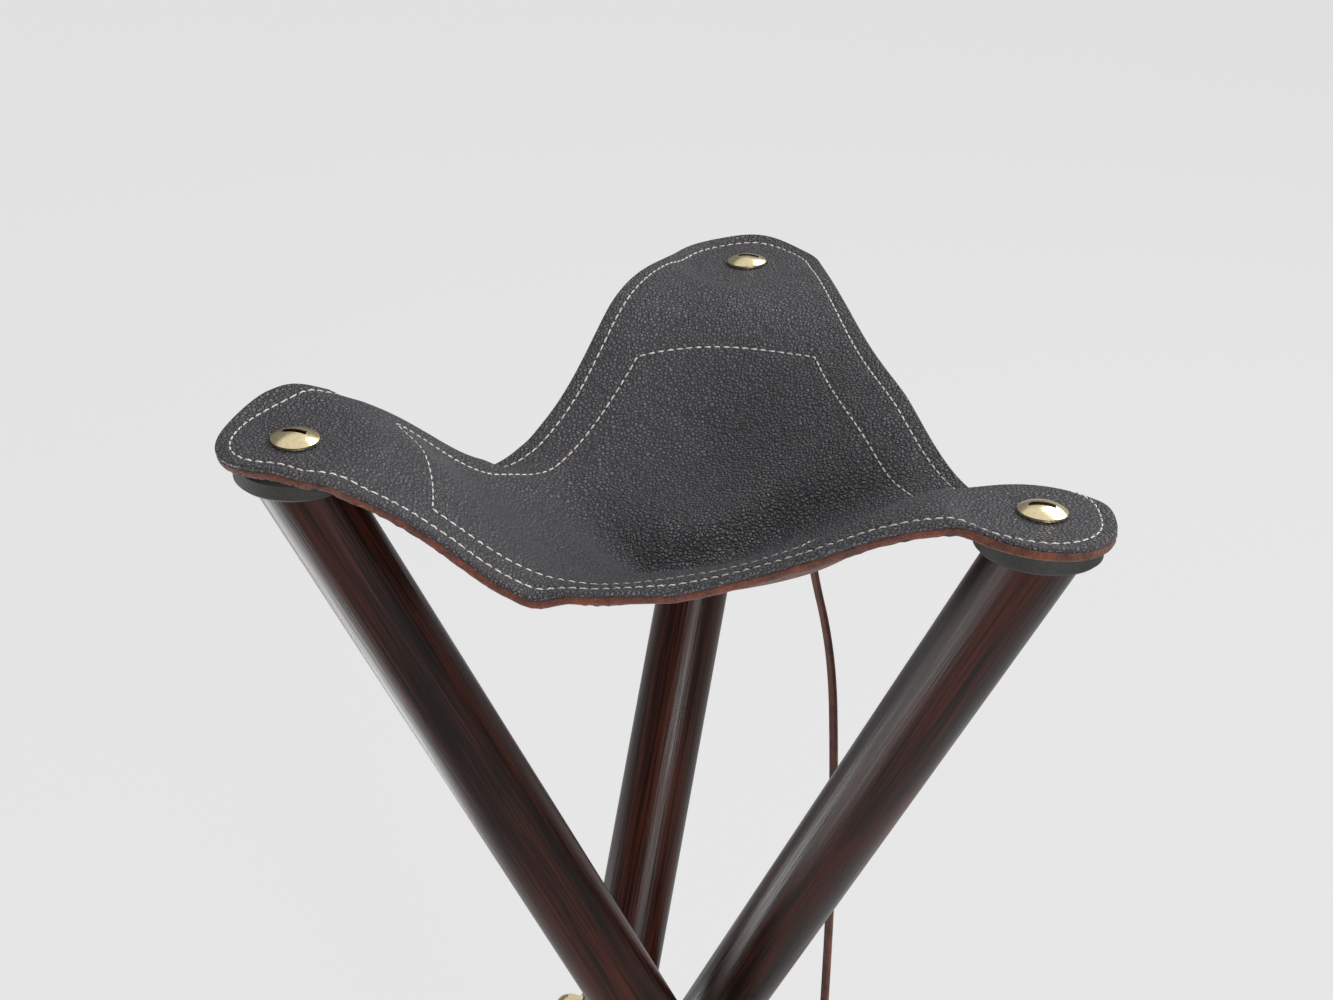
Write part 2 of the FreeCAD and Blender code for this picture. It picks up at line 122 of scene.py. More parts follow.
def placeCamera():
    a, e = math.radians(shot["azimuth"]), math.radians(shot["elevation"])
    back = Vector((math.sin(a) * math.cos(e), -math.cos(a) * math.cos(e), math.sin(e)))
    right = (-back).cross(Vector((0, 0, 1))).normalized()
    tilt = Matrix.Rotation(math.radians(shot["roll"]), 3, -back)
    right = tilt @ right
    up = right.cross(-back)
    turn = Matrix((right, up, back)).transposed()
    target = Vector(toModel([0, 0, shot["lift"]]))
    camera = bpy.data.objects.new("photoCamera", bpy.data.cameras.new("photoCamera"))
    camera.matrix_world = Matrix.Translation(target + back * shot["distance"]) @ turn.to_4x4()
    width, height = shot["frame"]
    camera.data.sensor_width = shot["sensor"]
    camera.data.lens = shot["sensor"] * shot["focal"] / width
    camera.data.shift_x = (width / 2 - shot["middle"][0]) / width
    camera.data.shift_y = (shot["middle"][1] - height / 2) / width
    bpy.context.scene.collection.objects.link(camera)
    bpy.context.scene.camera = camera


placeCamera()
print("camera placed")


# Stained walnut, turned and lacquered: nearly black between red-brown growth streaks, with a satin gleam
wood = {"dark": "#0f0705", "streak": "#3a170d", "ringMm": 9.0, "ringLengthMm": 126.0, "poreMm": 0.9,
        "poreLengthMm": 45.0, "poreDepthMm": 0.4, "gleam": 0.19}


def stainedWalnut(side):
    material, tree, shader = newMaterial("stainedWalnut_" + side)
    joint = joints["fold_" + side]
    arm = -Vector(joint["axis"])
    along = Vector((arm.y * math.sin(lean), -arm.x * math.sin(lean), math.cos(lean)))
    turn = Matrix((arm, along.cross(arm), along)).transposed()
    place = addNode(tree, "ShaderNodeTexCoord").outputs["Object"]
    local = addNode(tree, "ShaderNodeMapping", {"Vector": place, "Location": joint["pos_m"],
                    "Rotation": turn.to_euler()}, vector_type="TEXTURE").outputs[0]
    pore, ring = 1000 / wood["poreMm"], 1000 / wood["ringMm"]
    fine = addNode(tree, "ShaderNodeVectorMath", {0: local, 1: (pore, pore, 1000 / wood["poreLengthMm"])},
                   operation="MULTIPLY").outputs[0]
    broad = addNode(tree, "ShaderNodeVectorMath", {0: local, 1: (ring, ring, 1000 / wood["ringLengthMm"])},
                    operation="MULTIPLY").outputs[0]
    pores = addNode(tree, "ShaderNodeTexNoise", {"Vector": fine, "Scale": 1.0, "Detail": 3.0}).outputs[0]
    bands = addNode(tree, "ShaderNodeTexNoise", {"Vector": broad, "Scale": 1.0, "Detail": 4.0,
                    "Distortion": 0.6}).outputs[0]
    mixed = addNode(tree, "ShaderNodeMath", {0: bands, 1: pores}, operation="MULTIPLY").outputs[0]
    colour = addNode(tree, "ShaderNodeValToRGB", {"Fac": mixed},
                     ramp=[(0.18, srgb(wood["dark"])), (0.40, srgb(wood["streak"]))]).outputs[0]
    rough = addNode(tree, "ShaderNodeMapRange", {"Value": pores, "From Min": 0.3, "From Max": 0.7,
                    "To Min": 0.27, "To Max": 0.44}).outputs[0]
    bump = addNode(tree, "ShaderNodeBump", {"Height": pores, "Strength": 0.35,
                   "Distance": wood["poreDepthMm"] / 1000}).outputs[0]
    tree.links.new(colour, shader.inputs["Base Color"])
    tree.links.new(rough, shader.inputs["Roughness"])
    tree.links.new(bump, shader.inputs["Normal"])
    shader.inputs["Specular IOR Level"].default_value = wood["gleam"]
    return material


# Full-grain cow leather, dyed black and finished: small pebbles with creases between, and a soft sheen; the
# colour is painted shade in the creases and painted highlight on the pebble tops
leather = {"low": "#333235", "high": "#565459", "pebbleMm": 1.6, "creaseMm": 7.0, "reliefMm": 1.0}


def blackLeather():
    material, tree, shader = newMaterial("blackGrainLeather")
    place = addNode(tree, "ShaderNodeAttribute", attribute_name="restPlace").outputs["Vector"]
    scaled = addNode(tree, "ShaderNodeVectorMath", {0: place, "Scale": 1000 / leather["pebbleMm"]},
                     operation="SCALE").outputs[0]
    bent = addNode(tree, "ShaderNodeTexNoise", {"Vector": scaled, "Scale": 0.7,
                   "Detail": 2.0}).outputs["Color"]  # so that no pebble has straight sides
    pushed = addNode(tree, "ShaderNodeVectorMath", {0: bent, 1: (0.9, 0.9, 0.9), 2: scaled},
                     operation="MULTIPLY_ADD").outputs[0]
    pebbles = addNode(tree, "ShaderNodeTexVoronoi", {"Vector": pushed, "Scale": 1.0, "Smoothness": 0.35},
                      feature="SMOOTH_F1").outputs["Distance"]
    cracks = addNode(tree, "ShaderNodeTexVoronoi", {"Vector": pushed, "Scale": 1.0},
                     feature="DISTANCE_TO_EDGE").outputs["Distance"]
    groove = addNode(tree, "ShaderNodeMapRange", {"Value": cracks, "From Min": 0.0, "From Max": 0.3},
                     interpolation_type="SMOOTHSTEP").outputs[0]
    height = addNode(tree, "ShaderNodeMath", {0: pebbles, 1: -0.7, 2: groove},
                     operation="MULTIPLY_ADD").outputs[0]
    broad = addNode(tree, "ShaderNodeTexNoise", {"Vector": place, "Scale": 1000 / leather["creaseMm"],
                    "Detail": 3.0}).outputs[0]
    total = addNode(tree, "ShaderNodeMath", {0: broad, 1: 0.8, 2: height},
                    operation="MULTIPLY_ADD").outputs[0]
    bump = addNode(tree, "ShaderNodeBump", {"Height": total, "Strength": 0.9,
                   "Distance": leather["reliefMm"] / 1000}).outputs[0]
    # painted shade and highlight: the colour follows the relief, darker in the creases and lighter on the
    # pebble tops, with a random broad tone from the large noise
    colour = addNode(tree, "ShaderNodeValToRGB", {"Fac": total},
                     ramp=[(0.15, srgb(leather["low"])), (0.8, srgb(leather["high"]))]).outputs[0]
    rough = addNode(tree, "ShaderNodeMapRange", {"Value": height, "To Min": 0.6, "To Max": 0.44}).outputs[0]
    tree.links.new(colour, shader.inputs["Base Color"])
    tree.links.new(rough, shader.inputs["Roughness"])
    tree.links.new(bump, shader.inputs["Normal"])
    return material


# Vegetable-tanned split leather: red-brown, with a raised nap and darker fibres
suede = {"low": "#1d0e0a", "high": "#783d27", "fibreMm": 1.0, "patchMm": 6.25, "napMm": 1.2}


def brownSplit():
    material, tree, shader = newMaterial("redBrownSplitLeather")
    place = addNode(tree, "ShaderNodeAttribute", attribute_name="restPlace").outputs["Vector"]
    nap = addNode(tree, "ShaderNodeTexNoise", {"Vector": place, "Scale": 1000 / suede["fibreMm"],
                  "Detail": 5.0, "Roughness": 0.65}).outputs[0]
    patches = addNode(tree, "ShaderNodeTexNoise", {"Vector": place, "Scale": 1000 / suede["patchMm"],
                      "Detail": 3.0}).outputs[0]
    mixed = addNode(tree, "ShaderNodeMath", {0: nap, 1: patches}, operation="ADD").outputs[0]
    half = addNode(tree, "ShaderNodeMath", {0: mixed, 1: 0.5}, operation="MULTIPLY").outputs[0]
    colour = addNode(tree, "ShaderNodeValToRGB", {"Fac": half},
                     ramp=[(0.32, srgb(suede["low"])), (0.68, srgb(suede["high"]))]).outputs[0]
    bump = addNode(tree, "ShaderNodeBump", {"Height": nap, "Strength": 0.9,
                   "Distance": suede["napMm"] / 1000}).outputs[0]
    tree.links.new(colour, shader.inputs["Base Color"])
    tree.links.new(bump, shader.inputs["Normal"])
    shader.inputs["Roughness"].default_value = 0.88
    shader.inputs["Sheen Weight"].default_value = 0.15
    return material


# Waxed bonded-nylon thread, with the turns of its twist: off-white on top, brown in the bobbin underneath
thread = {"top": ("#a09490", "#ddd4d0"), "bobbin": ("#3a241b", "#6a4636"), "turnMm": 0.8,
          "twistMm": 0.2}


def waxedThread(kind):
    material, tree, shader = newMaterial("waxedThread_" + kind)
    low, high = thread[kind]
    place = addNode(tree, "ShaderNodeAttribute", attribute_name="restPlace").outputs["Vector"]
    turns = addNode(tree, "ShaderNodeTexNoise", {"Vector": place, "Scale": 1000 / thread["turnMm"],
                    "Detail": 2.0}).outputs[0]
    colour = addNode(tree, "ShaderNodeValToRGB", {"Fac": turns},
                     ramp=[(0.3, srgb(low)), (0.6, srgb(high))]).outputs[0]
    bump = addNode(tree, "ShaderNodeBump", {"Height": turns, "Strength": 0.4,
                   "Distance": thread["twistMm"] / 1000}).outputs[0]
    tree.links.new(colour, shader.inputs["Base Color"])
    tree.links.new(bump, shader.inputs["Normal"])
    shader.inputs["Roughness"].default_value = 0.6
    return material


# Pressed rubber, dark grey with a little green: matt, with a faint mould grain
rubber = {"low": "#121311", "high": "#262723", "gritMm": 0.8, "gritDepthMm": 0.3}


def pressedRubber():
    material, tree, shader = newMaterial("pressedDarkRubber")
    place = addNode(tree, "ShaderNodeTexCoord").outputs["Object"]
    grit = addNode(tree, "ShaderNodeTexNoise", {"Vector": place, "Scale": 1000 / rubber["gritMm"],
                   "Detail": 4.0}).outputs[0]
    colour = addNode(tree, "ShaderNodeValToRGB", {"Fac": grit},
                     ramp=[(0.3, srgb(rubber["low"])), (0.7, srgb(rubber["high"]))]).outputs[0]
    bump = addNode(tree, "ShaderNodeBump", {"Height": grit, "Strength": 0.3,
                   "Distance": rubber["gritDepthMm"] / 1000}).outputs[0]
    tree.links.new(colour, shader.inputs["Base Color"])
    tree.links.new(bump, shader.inputs["Normal"])
    shader.inputs["Roughness"].default_value = 0.7
    return material


# Polished brass, lacquered: pale yellow metal with faint wiping marks, and painted shade in a screw's slot,
# coloured dark brown
brass = {"pale": "#e0d3b0", "deep": "#d3c092", "slotShade": "#2e160a", "markMm": 1.5,
         "slotMm": (4.6, 1.05), "softMm": 0.3}  # half the slot's length and width, and the soft edge of the painted shade


def polishedBrass(name, screw=None):
    material, tree, shader = newMaterial(name)
    place = addNode(tree, "ShaderNodeTexCoord").outputs["Object"]
    marks = addNode(tree, "ShaderNodeTexNoise", {"Vector": place, "Scale": 1000 / brass["markMm"],
                    "Detail": 4.0}).outputs[0]
    colour = addNode(tree, "ShaderNodeValToRGB", {"Fac": marks},
                     ramp=[(0.25, srgb(brass["deep"])), (0.7, srgb(brass["pale"]))]).outputs[0]
    rough = addNode(tree, "ShaderNodeMapRange", {"Value": marks, "To Min": 0.2, "To Max": 0.3}).outputs[0]
    if screw is not None:  # the slot lies across the stool
        offset = addNode(tree, "ShaderNodeVectorMath", {0: place, 1: screw.tolist()},
                         operation="SUBTRACT").outputs[0]
        apart = addNode(tree, "ShaderNodeVectorMath", {0: offset}, operation="ABSOLUTE").outputs[0]
        axes = addNode(tree, "ShaderNodeSeparateXYZ", {0: apart}).outputs
        inside = [addNode(tree, "ShaderNodeMapRange", {"Value": axes[i], "From Min": reach / 1000,
                          "From Max": (reach + brass["softMm"]) / 1000, "To Min": 1.0,
                          "To Max": 0.0}).outputs[0] for i, reach in enumerate(brass["slotMm"])]
        # painted shade: the slot's box is coloured dark brown and made rougher, to darken the recess
        slotShadeMask = addNode(tree, "ShaderNodeMath", {0: inside[0], 1: inside[1]}, operation="MULTIPLY").outputs[0]
        colour = addNode(tree, "ShaderNodeMix", {0: slotShadeMask, 6: colour, 7: srgb(brass["slotShade"])},
                         data_type="RGBA").outputs[2]
        rough = addNode(tree, "ShaderNodeMath", {0: slotShadeMask, 1: 0.5, 2: rough},
                        operation="MULTIPLY_ADD").outputs[0]
    tree.links.new(colour, shader.inputs["Base Color"])
    tree.links.new(rough, shader.inputs["Roughness"])
    shader.inputs["Metallic"].default_value = 1.0
    return material


blackGrain, brownHide = blackLeather(), brownSplit()
topThread, bobbinThread = waxedThread("top"), waxedThread("bobbin")
padRubber, brassMetal = pressedRubber(), polishedBrass("polishedBrass")
print("materials made")

# Tie lace: a flat strip of the same hide, hung from its rivet under the panel
lace = {"width": 5.0, "thickness": 2.0, "square": 5.0, "ring": 20,
        "route": [(55.2, 36.0, -38.4), (47.9, 30.4, -44.6), (45.2, 28.2, -54.0), (46.0, 27.6, -71.0),
                  (50.0, 28.0, -92.0), (55.8, 29.0, -114.0), (60.0, 29.8, -140.0), (62.3, 30.4, -172.0),
                  (64.2, 30.8, -208.0), (65.4, 31.2, -250.0), (66.0, 31.6, -295.0), (66.2, 31.8, -338.0),
                  (65.8, 31.7, -379.0), (65.6, 31.4, -418.0)]}


def splineLine(points):  # the points of a NURBS spline that has these as its control points
    curve = bpy.data.curves.new("laceLine", "CURVE")
    curve.dimensions = "3D"
    curve.resolution_u = 10
    spline = curve.splines.new("NURBS")
    spline.points.add(len(points) - 1)
    spline.points.foreach_set("co", np.column_stack([points, np.ones(len(points))]).ravel())
    spline.order_u = 3
    spline.use_endpoint_u = True
    holder = bpy.data.objects.new("laceLine", curve)
    mesh = bpy.data.meshes.new_from_object(holder)
    line = np.empty(len(mesh.vertices) * 3)
    mesh.vertices.foreach_get("co", line)
    bpy.data.objects.remove(holder)
    bpy.data.curves.remove(curve)
    bpy.data.meshes.remove(mesh)
    return line.reshape(-1, 3)


# A rounded flat section carried along the line: half a width across, half a thickness through,
# with cosine and sine raised to 2 / square so that the section's corners stay small
def makeLace():
    line = splineLine(toModel(lace["route"]))
    ahead = np.gradient(line, axis=0)
    ahead /= np.linalg.norm(ahead, axis=1, keepdims=True)
    first = ahead[0]
    level = np.array([first[1], -first[0], 0.0])
    across = level - ahead * (ahead @ level)[:, None]
    across /= np.linalg.norm(across, axis=1, keepdims=True)
    through = np.cross(across, ahead)
    angle = np.linspace(0, 2 * np.pi, lace["ring"], endpoint=False)
    power = 2 / lace["square"]
    wide = np.sign(np.cos(angle)) * np.abs(np.cos(angle)) ** power * lace["width"] / 2000
    deep = np.sign(np.sin(angle)) * np.abs(np.sin(angle)) ** power * lace["thickness"] / 2000
    rings = line[:, None] + across[:, None] * wide[None, :, None] + through[:, None] * deep[None, :, None]
    count, ring = rings.shape[:2]
    numbers = np.arange(count * ring).reshape(count, ring)
    faces = gridQuads(np.column_stack([numbers, numbers[:, :1]]))[:, ::-1].tolist()
    faces += [numbers[0].tolist(), numbers[-1][::-1].tolist()]
    piece = newPiece("tieLace", rings.reshape(-1, 3), faces, brownHide)
    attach(piece, "seat_and_hub")
    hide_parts("tie_lace")


makeLace()

# Seat sling: the hanging leather's heights, as the solids have them
sling = {
    "screwRadius": math.hypot(leg["pivotOut"], leg["abovePivot"] * math.sin(lean)),
    "tongueRadius": 34.0, "tongueBack": 6.0, "sideOffset": 16.0, "topLean": 3.0, "flat": (25.0, 38.0),
    "middle": -57.0, "tongueSide": 32.0,
    "tip": {"back": 3.0, "left": -2.5, "right": 1.0},
    "rise": {"back": 3.0, "left": 8.0, "right": 7.0}, "drop": {"back": 1.0, "left": -3.0, "right": -7.0},
    "edges": {"back": [(75, 20, -4), (136, 14, -46), (168, 14, -45), (205, 20, -17)],
              "left": [(72, 20, -30), (104, 15, -43), (136, 14, -40), (205, 20, -12)],
              "right": [(75, 20, -30), (136, 14, -14), (200, 20, -1)]},
    "spines": {"back": [(45, -2), (95, -43)], "left": [(45, -9), (95, -57)],
               "right": [(45, -6), (95, -48)]},
    # hand-cut edge: corner, place (0 tongue's tip, 0.5 tongue's end, 1 side's middle), millimetres out
    "cut": [("back", 0.0, 6.0), ("back", 0.3, 3.0), ("back", 0.62, 2.0), ("back", 0.95, -4.5),
            ("left", -0.65, 2.0), ("left", -0.2, -0.7), ("left", 0.05, 1.8), ("left", 0.34, -7.0),
            ("right", 0.25, -2.5), ("right", -0.5, -2.5)],
    "cutSpread": 0.2,
    # folds, each with its spread and then plan places and depths: the bowl's valley, the ridge and
    # the kink of the front rim, the drooping edge beside the left tongue and the ridge inside it
    "folds": [(13.0, [(-48, 15, 3.0), (-27, -7, 8.5), (-13, -20, 12.0), (11, -14, 11.5), (37, 0, 9.0),
                      (66, 7, 4.0)]),
              (20.0, [(-22, -86, -2.5), (12, -79, -4.5), (45, -78, -5.5), (75, -79, -5.0), (102, -84, -1.5)]),
              (9.0, [(-72, -96, 0.5), (-43, -97, 5.5), (-32, -97, 0.5), (-12, -97, 0.3), (8, -97, 2.6),
                     (30, -97, 0.5)]),
              (9.0, [(-138, -32, 1.0), (-126, -16, 6.0), (-112, 3, 9.0), (-95, 24, 8.0), (-80, 42, 2.0)]),
              (10.0, [(-122, -32, -2.0), (-104, -10, -4.5), (-87, 9, -6.0), (-68, 18, -3.5)])],
    # where the panel sags away from the seat: plan place, depth, spread
    "sags": [(-32, -52, 4.5, 24.0), (96, -38, 4.0, 10.0)],
}


def heading(azimuth):
    angle = np.radians(azimuth)
    return np.array([np.cos(angle), np.sin(angle)])


# Thin plate spline: a plane plus, for each known point, a weight times d squared times the log of d squared
def plateTerm(distance):
    square = np.maximum(distance, 1e-9) ** 2
    return square * np.log(square)


def solvePlate():
    known = [(0.0, 0.0, sling["middle"])]
    reach = sling["tongueRadius"] - sling["tongueBack"]
    for corner, azimuth in corners.items():
        out, side = heading(azimuth), heading(azimuth + 90)
        screw = out * sling["screwRadius"]
        along = heading(azimuth + 150)
        outside = heading(azimuth + 60)
        known += [(*screw, 0.0), (*(screw + out * reach), sling["tip"][corner])]
        known += [(*(screw + side * sling["tongueSide"]), sling["drop"][corner])]
        known += [(*(screw - side * sling["tongueSide"]), sling["rise"][corner])]
        known += [(*(screw + along * s + outside * o), z) for s, o, z in sling["edges"][corner]]
        known += [(*(screw - out * d), z) for d, z in sling["spines"][corner]]
    known = np.array(known)
    places = known[:, :2]
    count = len(known)
    system = np.zeros((count + 3, count + 3))
    system[:count, :count] = plateTerm(np.linalg.norm(places[:, None] - places[None], axis=2))
    system[:count, count] = system[count, :count] = 1
    system[:count, count + 1:] = places
    system[count + 1:, :count] = places.T
    return places, np.linalg.solve(system, np.append(known[:, 2], np.zeros(3)))


platePlaces, plateWeights = solvePlate()


def smoothStep(value):
    value = np.clip(value, 0, 1)
    return value * value * (3 - 2 * value)


# Depth of the folds: along each run of a fold a bell curve of the distance, as deep as the run is there
def foldDepth(xy):
    total = np.zeros(xy.shape[:-1])
    for spread, rows in sling["folds"]:
        rows = np.array(rows, float)
        deepest = np.zeros(xy.shape[:-1])
        for start, end in zip(rows[:-1], rows[1:]):
            run = end[:2] - start[:2]
            share = np.clip((xy - start[:2]) @ run / (run @ run), 0, 1)
            apart = np.linalg.norm(xy - start[:2] - share[..., None] * run, axis=-1)
            bell = (start[2] + (end[2] - start[2]) * share) * np.exp(-(apart / spread) ** 2)
            deepest = np.where(np.abs(bell) > np.abs(deepest), bell, deepest)
        total += deepest
    return total


# Height of the sling's top over plan points: the plate, blended into the flat leaning rest on each leg top
def slingHeight(xy):
    height = plateWeights[-3] + xy @ plateWeights[-2:]
    for place, weight in zip(platePlaces, plateWeights):
        height = height + weight * plateTerm(np.linalg.norm(xy - place, axis=-1))
    height = height - foldDepth(xy)
    for azimuth in corners.values():
        fromScrew = xy - heading(azimuth) * sling["screwRadius"]
        inner, outer = sling["flat"]
        free = smoothStep((np.linalg.norm(fromScrew, axis=-1) - inner) / (outer - inner))
        level = -math.tan(math.radians(sling["topLean"])) * (fromScrew @ heading(azimuth + 90))
        height = level + (height - level) * free
    return height


# Outline sizes in one half corner, with the corner along +x: a tongue arc, then a hollow side arc
centreRadius = sling["screwRadius"] - sling["tongueBack"]
sideOut = sling["sideOffset"] + sling["tongueBack"] / 2
halfSide = centreRadius * math.cos(math.radians(30))
hollow = sling["tongueRadius"] - sideOut
sideFar = (halfSide ** 2 - hollow ** 2) / (2 * hollow)
sideRadius = sideFar - sideOut
sideCentre = heading(60) * (centreRadius / 2 + sideFar)
tongueCentre = np.array([centreRadius, 0.0])
tongueTurn = math.atan2(*(sideCentre - tongueCentre)[::-1])  # how far the tongue's arc goes round
sideStart = math.atan2(*(tongueCentre - sideCentre)[::-1])
sideEnd = math.radians(240)


# How far the hand-cut edge lies outside the plain outline, along one half corner: bell curves added up
def cutPush(place, corner, mirror):
    names = list(corners)
    here = 2 * names.index(corner) + mirror * place
    push = np.zeros_like(place)
    for name, middle, out in sling["cut"]:
        apart = (here - 2 * names.index(name) - middle + 3) % 6 - 3
        push += out * np.exp(-(apart / sling["cutSpread"]) ** 2)
    return push


# Outline of a half corner at an inset, from the tongue's tip to the middle of the side, and the outward way
def halfOutline(inset, corner=None, mirror=1, tongueSteps=46, sideSteps=56):
    tongueAngle = np.linspace(0, tongueTurn, tongueSteps + 1)
    sideAngle = np.linspace(sideStart % (2 * np.pi), sideEnd, sideSteps + 1)[1:]
    tongueWay = np.stack([np.cos(tongueAngle), np.sin(tongueAngle)], -1)
    sideWay = np.stack([np.cos(sideAngle), np.sin(sideAngle)], -1)
    points = np.concatenate([tongueCentre + tongueWay * (sling["tongueRadius"] - inset),
                             sideCentre + sideWay * (sideRadius + inset)])
    way = np.concatenate([tongueWay, -sideWay])
    if corner:
        place = np.append(np.linspace(0, 0.5, tongueSteps + 1), np.linspace(0.5, 1, sideSteps + 1)[1:])
        points = points + way * cutPush(place, corner, mirror)[:, None]
    return points, way


def turned(points, azimuth, mirror):  # half corner to plan
    c, s = np.cos(np.radians(azimuth)), np.sin(np.radians(azimuth))
    x, y = points[..., 0], points[..., 1] * mirror
    return np.stack([x * c - y * s, x * s + y * c], -1)


# Sewn panel: the outline inset, cut straight across each corner; its stitch line shows on top
panel = {"inset": {"back": 22.5, "left": 15.5, "right": 21.0},
         "chord": {"back": 74.0, "left": 43.0, "right": 70.0},
         "bulge": {"back": 9.0, "left": -5.5, "right": -3.5}}
nextTo = {("back", 1): "back", ("left", -1): "back", ("left", 1): "left", ("right", -1): "left",
          ("right", 1): "right", ("back", -1): "right"}  # side of a half corner, by its first corner
stitch = {"inset": 5.5, "pitch": 4.1, "length": 3.1, "width": 0.75, "height": 0.55, "proud": 0.22,
          "sink": 0.35, "groove": 0.35, "spread": 1.1, "sides": 6,
          "rings": [(-1.0, 0.35), (-0.78, 0.85), (0.0, 1.0), (0.78, 0.85), (1.0, 0.35)]}


# Panel's stitch line in a half corner, at an inset: the seat's outline further in, and a bowed line across it
def panelOutline(inset, corner, mirror):
    points, way = halfOutline(panel["inset"][nextTo[corner, mirror]] + inset)
    limit = sling["screwRadius"] - panel["chord"][corner] - inset
    beyond = points[:, 0] > limit
    reach = points[beyond, 1] / points[~beyond][0, 1]
    points[beyond, 0] = limit + panel["bulge"][corner] * (1 - reach ** 2)
    way[beyond] = (1.0, 0.0)
    return points, way


def sewnLoop(outline, inset):  # plan points right round the seat
    parts = []
    for corner, azimuth in corners.items():
        parts += [turned(outline(inset, corner, -1)[0][:0:-1], azimuth, -1),
                  turned(outline(inset, corner, 1)[0][:-1], azimuth, 1)]
    return np.concatenate(parts)


sewnLines = [sewnLoop(halfOutline, stitch["inset"]), sewnLoop(panelOutline, 0.0)]
sewnPoints = np.concatenate(sewnLines)


# Distance to the nearest of the points along both stitch lines, from a squared + b squared - 2 a.b
def sewnDistance(xy, parts=16):
    own = (sewnPoints ** 2).sum(1)
    nearest = [(own - 2 * part @ sewnPoints.T).min(1) + (part ** 2).sum(1)
               for part in np.array_split(xy.reshape(-1, 2), parts)]
    return np.sqrt(np.maximum(np.concatenate(nearest), 0)).reshape(xy.shape[:-1])


def topHeight(xy):  # the sling with its sewn lines drawn in
    return slingHeight(xy) - stitch["groove"] * np.exp(-(sewnDistance(xy) / stitch["spread"]) ** 2)


def panelHeight(xy):  # the sling with bell-shaped sags
    height = slingHeight(xy)
    for x, y, deep, spread in sling["sags"]:
        height = height - deep * np.exp(-((xy - [x, y]) ** 2).sum(-1) / spread ** 2)
    return height


def surfaceNormal(height, xy, step=0.3):
    dx = (height(xy + [step, 0]) - height(xy - [step, 0])) / (2 * step)
    dy = (height(xy + [0, step]) - height(xy - [0, step])) / (2 * step)
    normal = np.stack([-dx, -dy, np.ones_like(dx)], -1)
    return normal / np.linalg.norm(normal, axis=-1, keepdims=True)


# Leather layer of one half corner, a closed shell. Its rows go from the middle of the seat out over the top,
# down round the cut edge and back underneath; its columns follow the outline. Each row of the edge has its
# inset, its depth and the tilt of its shading.
layers = {
    "seatTop": {"top": 0.0, "bottom": 1.95, "shape": topHeight, "outline": halfOutline,
                "flat": (0.115, 0.205), "node": "seat_top_leather", "slot": "black_leather",
                "material": blackGrain,
                "edge": [(0.55, 0.06, 15), (0.22, 0.28, 45), (0.04, 0.70, 72), (0.0, 1.2, 90),
                         (0.05, 1.65, 110), (0.25, 1.9, 150)]},
    "seatBase": {"top": 2.0, "bottom": 5.0, "shape": slingHeight, "outline": halfOutline,
                 "flat": (0.115, 0.205), "node": "seat_base_leather", "slot": "brown_leather",
                 "material": brownHide, "fray": 0.3,
                 "edge": [(0.2, 2.05, 40), (0.0, 2.4, 75), (-0.1, 3.2, 90), (0.0, 4.1, 100),
                          (0.25, 4.7, 130), (0.6, 4.95, 160)]},
    "underPanel": {"top": 5.05, "bottom": 7.0, "shape": panelHeight, "outline": panelOutline,
                   "flat": (0.08, 0.11), "node": "seat_under_panel", "slot": "brown_leather",
                   "material": brownHide,
                   "edge": [(-2.8, 5.1, 40), (-3.0, 5.4, 75), (-3.0, 6.2, 95), (-2.7, 6.9, 140)]},
}
bandInsets = np.array([14.5, 12.2, 10.2, 8.6, 7.5, 6.7, 6.1, 5.5, 4.9, 4.3, 3.5, 2.6, 1.8, 1.0])
innerSteps = 58
frayWaves = [(1.9, 2.2), (0.83, -1.3), (3.7, 1.0)]  # radians for a column and for a row of the cut edge


def halfCorners():
    for corner, azimuth in corners.items():
        for mirror, name in ((1, "Left"), (-1, "Right")):
            yield corner, azimuth, mirror, corner.capitalize() + name


# Bakes the piece's placement into its mesh; nothing here folds it with a leg
def foldWithLeg(piece):
    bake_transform(piece)


def shellRows(layer, corner, azimuth, mirror):
    outline = layer["outline"]
    spokes, way = outline(bandInsets[0], corner, mirror)
    places = [spokes * share for share in np.linspace(0, 1, innerSteps + 1)[1:-1]]
    places += [outline(inset, corner, mirror)[0] for inset in bandInsets]
    inside = len(places)
    insets, depths, tilts = zip(*layer["edge"])
    places += [outline(inset, corner, mirror)[0] for inset in insets] + places[::-1]
    depths = [layer["top"]] * inside + list(depths) + [layer["bottom"]] * inside
    tilts = [0.0] * inside + list(tilts) + [180.0] * inside
    xy = turned(np.array(places), azimuth, mirror)
    return xy, turned(way, azimuth, mirror), np.array(depths), np.radians(tilts), inside


